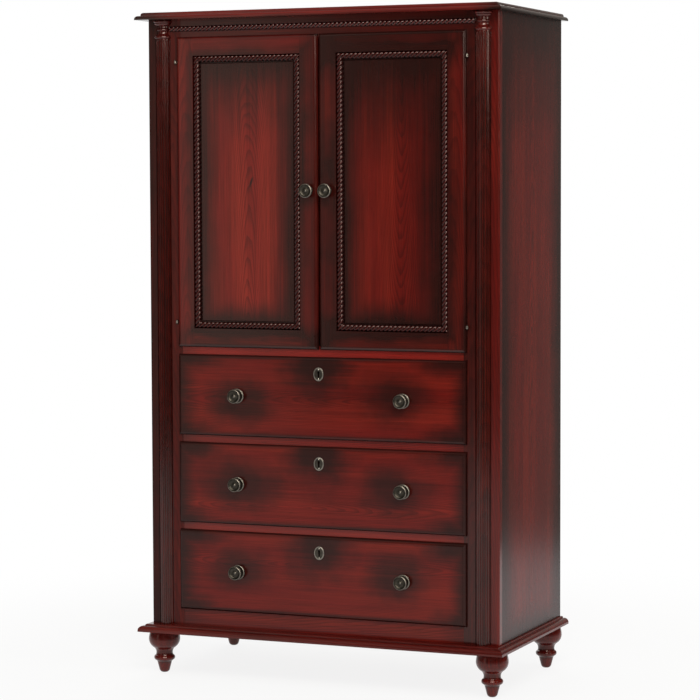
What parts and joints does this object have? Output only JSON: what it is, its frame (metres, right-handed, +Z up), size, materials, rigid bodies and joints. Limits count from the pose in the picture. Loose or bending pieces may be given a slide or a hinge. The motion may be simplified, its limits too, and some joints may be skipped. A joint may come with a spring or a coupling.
{
  "type": "armoire",
  "caption": "Tall cherry armoire with paired framed doors over lipped drawers, fluted half columns, rope mouldings and turned feet.",
  "frame": {"origin": "on the floor, under the middle of the whole piece", "axes": "+Z up, -Y out of the front, +X to the right when facing the front"},
  "size_m": [1.065, 0.562, 1.817],
  "materials": {
    "cherry": "satin, burnished at the edges",
    "cherry_panel": "satin, burnished edges",
    "cherry_dark": "satin, dark burnish",
    "inner_wood": "satin",
    "back_sheet": "matt stained sheet",
    "drawer_wood": "clear satin",
    "drawer_sheet": "clear satin sheet",
    "dark_bronze": "dark antique",
    "brass": "plain, satin",
    "steel": "plain",
    "catch_plastic": "matt brown"
  },
  "bodies": {
    "carcass": {"top_board": "cherry", "base_moulding": "cherry", "turned_feet": "cherry", "bottom_rail": "cherry", "drawer_rails": "cherry", "door_sill_rail": "cherry", "frieze_rail": "cherry", "frieze_rope": "cherry", "left_side_panel": "cherry", "right_side_panel": "cherry", "left_corner_post": "cherry", "right_corner_post": "cherry", "left_column": "cherry", "right_column": "cherry", "cabinet_floor": "inner_wood", "bottom_board": "inner_wood", "adjustable_shelf": "inner_wood", "drawer_runners": "inner_wood", "drawer_guides": "inner_wood", "drawer_back_rails": "inner_wood", "back_panel": "back_sheet", "shelf_pins": "steel", "post_hinge_leaves": "dark_bronze", "hinge_pins": "dark_bronze", "door_catches": "catch_plastic"},
    "left_door": {"left_door_stiles": "cherry", "left_door_rails": "cherry", "left_door_panel": "cherry_panel", "left_door_rope": "cherry_dark", "left_door_knob": "dark_bronze", "left_door_hinge_leaves": "dark_bronze"},
    "right_door": {"right_door_stiles": "cherry", "right_door_rails": "cherry", "right_door_panel": "cherry_panel", "right_door_rope": "cherry_dark", "right_door_knob": "dark_bronze", "right_door_hinge_leaves": "dark_bronze"},
    "bottom_drawer": {"bottom_drawer_front": "cherry", "bottom_drawer_sides": "drawer_wood", "bottom_drawer_back": "drawer_wood", "bottom_drawer_bottom": "drawer_sheet", "bottom_drawer_knobs": "dark_bronze", "bottom_drawer_escutcheon": "dark_bronze", "bottom_drawer_lock_case": "brass"},
    "bottom_lock_bolt": {"bottom_drawer_lock_bolt": "brass"},
    "middle_drawer": {"middle_drawer_front": "cherry", "middle_drawer_sides": "drawer_wood", "middle_drawer_back": "drawer_wood", "middle_drawer_bottom": "drawer_sheet", "middle_drawer_knobs": "dark_bronze", "middle_drawer_escutcheon": "dark_bronze", "middle_drawer_lock_case": "brass"},
    "middle_lock_bolt": {"middle_drawer_lock_bolt": "brass"},
    "top_drawer": {"top_drawer_front": "cherry", "top_drawer_sides": "drawer_wood", "top_drawer_back": "drawer_wood", "top_drawer_bottom": "drawer_sheet", "top_drawer_knobs": "dark_bronze", "top_drawer_escutcheon": "dark_bronze", "top_drawer_lock_case": "brass"},
    "top_lock_bolt": {"top_drawer_lock_bolt": "brass"}
  },
  "joints": [
    {"name": "left_door_hinge", "type": "hinge", "parent": "carcass", "child": "left_door", "pos_m": [-0.422, -0.2435, 1.3285], "axis": [0, 0, -1], "range_deg": [0, 120]},
    {"name": "right_door_hinge", "type": "hinge", "parent": "carcass", "child": "right_door", "pos_m": [0.422, -0.2435, 1.3285], "axis": [0, 0, 1], "range_deg": [0, 120]},
    {"name": "bottom_drawer_slide", "type": "slide", "parent": "carcass", "child": "bottom_drawer", "axis": [0, -1, 0], "range_m": [0, 0.33]},
    {"name": "middle_drawer_slide", "type": "slide", "parent": "carcass", "child": "middle_drawer", "axis": [0, -1, 0], "range_m": [0, 0.33]},
    {"name": "top_drawer_slide", "type": "slide", "parent": "carcass", "child": "top_drawer", "axis": [0, -1, 0], "range_m": [0, 0.33]},
    {"name": "bottom_lock_bolt_slide", "type": "slide", "parent": "bottom_drawer", "child": "bottom_lock_bolt", "axis": [0, 0, 1], "range_m": [0, 0.008]},
    {"name": "middle_lock_bolt_slide", "type": "slide", "parent": "middle_drawer", "child": "middle_lock_bolt", "axis": [0, 0, 1], "range_m": [0, 0.008]},
    {"name": "top_lock_bolt_slide", "type": "slide", "parent": "top_drawer", "child": "top_lock_bolt", "axis": [0, 0, 1], "range_m": [0, 0.008]}
  ]
}
